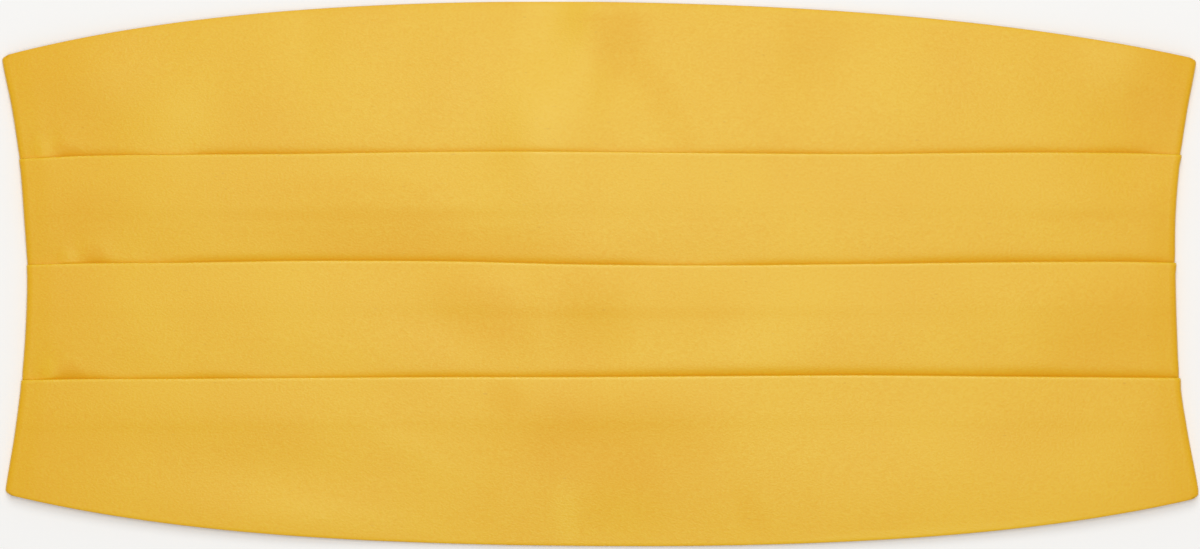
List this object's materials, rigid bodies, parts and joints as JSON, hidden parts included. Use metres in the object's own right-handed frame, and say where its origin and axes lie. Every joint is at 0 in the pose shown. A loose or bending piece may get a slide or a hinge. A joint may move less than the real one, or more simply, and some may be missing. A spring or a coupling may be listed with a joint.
{
  "type": "cummerbund",
  "caption": "Pleated satin cummerbund folded for display: a tapered panel with upward pleats and a strap behind, lying flat face up.",
  "frame": {"origin": "centre of the outline, on the surface the cummerbund lies on", "axes": "+X along the panel, to the right as seen from the front; +Y up the wearer's body; +Z out of the front face, up from the surface"},
  "size_m": [0.2788, 0.1272, 0.0049],
  "materials": {
    "satin": "golden-yellow polyester satin, soft sheen",
    "strap_webbing": "matching woven elastic webbing, matt",
    "clasp_plastic": "matching moulded plastic, satin"
  },
  "bodies": {
    "root": {"front_panel": "satin", "folded_end_left": "satin", "folded_end_right": "satin", "strap_left": "strap_webbing", "strap_right": "strap_webbing", "back_clasp": "clasp_plastic"}
  },
  "joints": []
}
